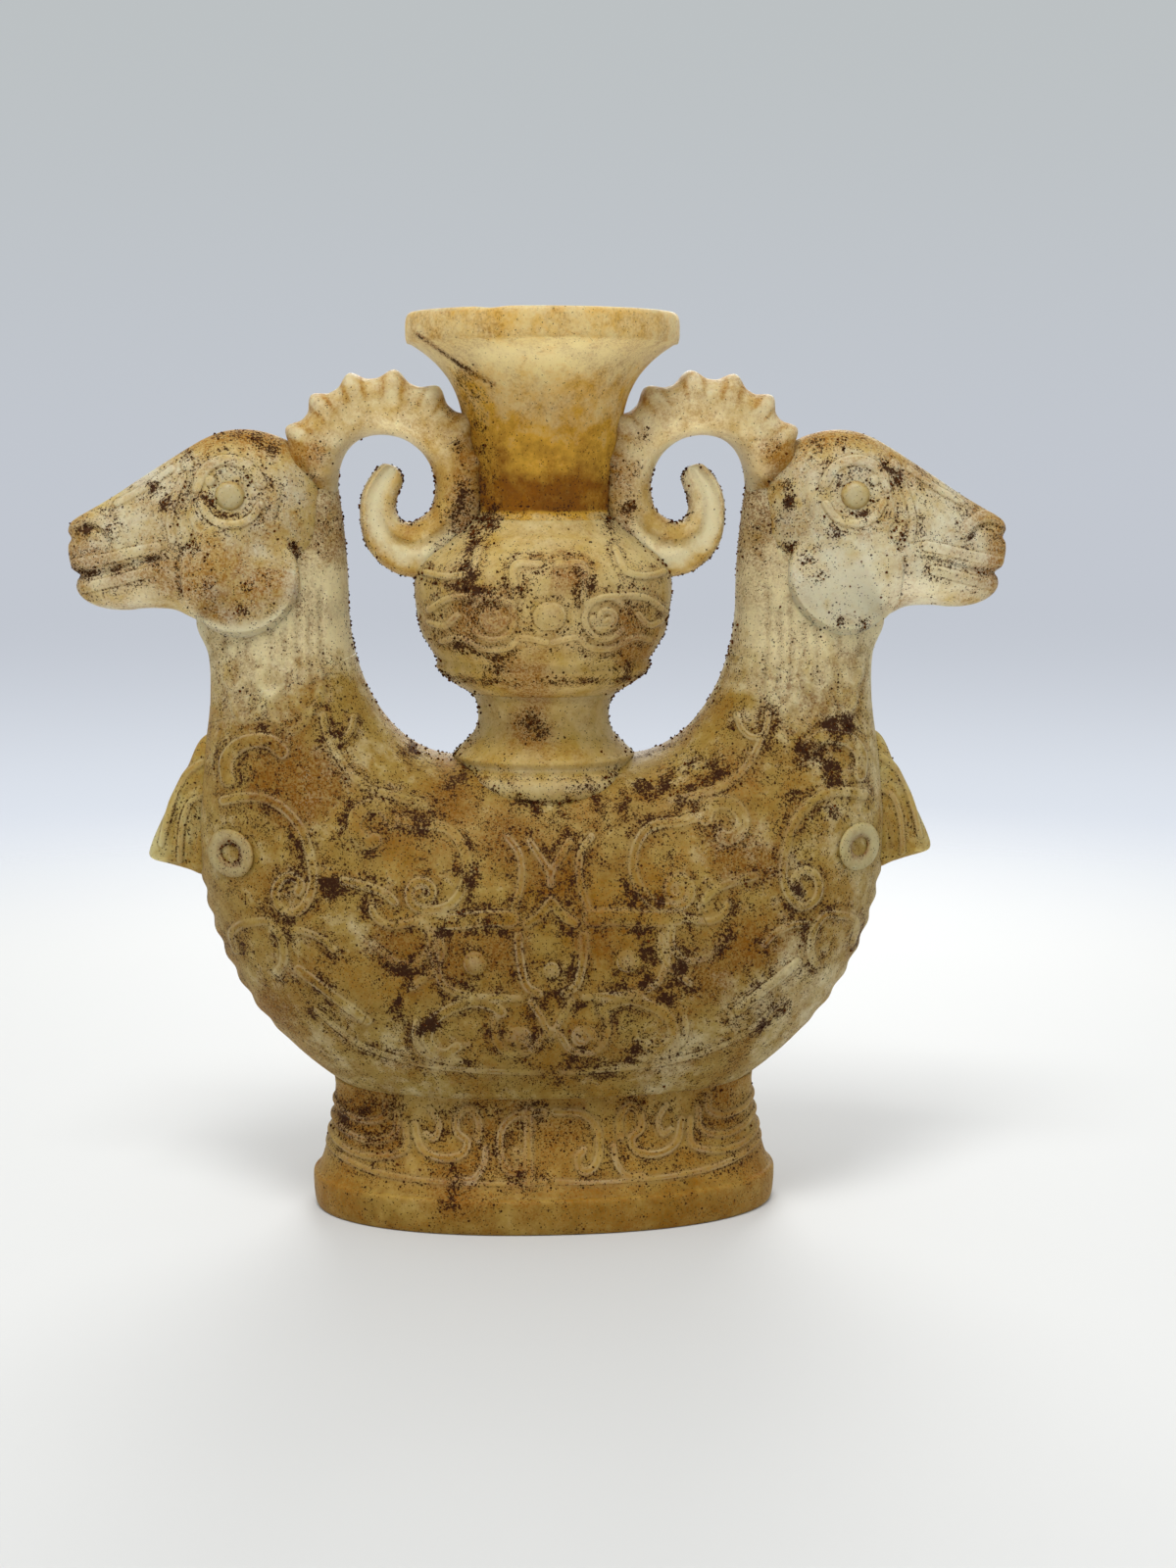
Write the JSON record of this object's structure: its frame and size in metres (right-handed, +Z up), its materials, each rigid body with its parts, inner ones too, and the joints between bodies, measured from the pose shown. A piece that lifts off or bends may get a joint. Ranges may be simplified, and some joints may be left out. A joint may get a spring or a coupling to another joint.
{
  "type": "double-ram vase",
  "caption": "Frosted glass vessel: a crescent belly on an oval foot rises into rams' heads, whose curled horns hold a trumpet-mouthed vase.",
  "frame": {"origin": "middle of the foot's underside, which rests on the table", "axes": "+Z up, +X along the vessel from the left ram to the right ram as seen from the front, front faces -Y"},
  "size_m": [0.1572, 0.0486, 0.15],
  "materials": {
    "foot_glass": "frosted, tan, soil-stained",
    "belly_glass": "frosted, olive-tan, soil-stained",
    "vase_glass": "frosted, amber-tan, soil-stained",
    "head_glass": "frosted, pale, soil in the grooves",
    "horn_glass": "frosted, pale amber",
    "boss_glass": "frosted, pale"
  },
  "bodies": {
    "root": {"foot": "foot_glass", "belly": "belly_glass", "vase_stem": "vase_glass", "vase_globe": "vase_glass", "vase_trumpet": "vase_glass", "left_neck": "head_glass", "right_neck": "head_glass", "left_head": "head_glass", "right_head": "head_glass", "left_horn": "horn_glass", "right_horn": "horn_glass", "left_breast_fin": "boss_glass", "right_breast_fin": "boss_glass", "left_eye_front": "boss_glass", "left_eye_back": "boss_glass", "right_eye_front": "boss_glass", "right_eye_back": "boss_glass", "left_shoulder_boss_front": "boss_glass", "left_shoulder_boss_back": "boss_glass", "right_shoulder_boss_front": "boss_glass", "right_shoulder_boss_back": "boss_glass"}
  },
  "joints": []
}
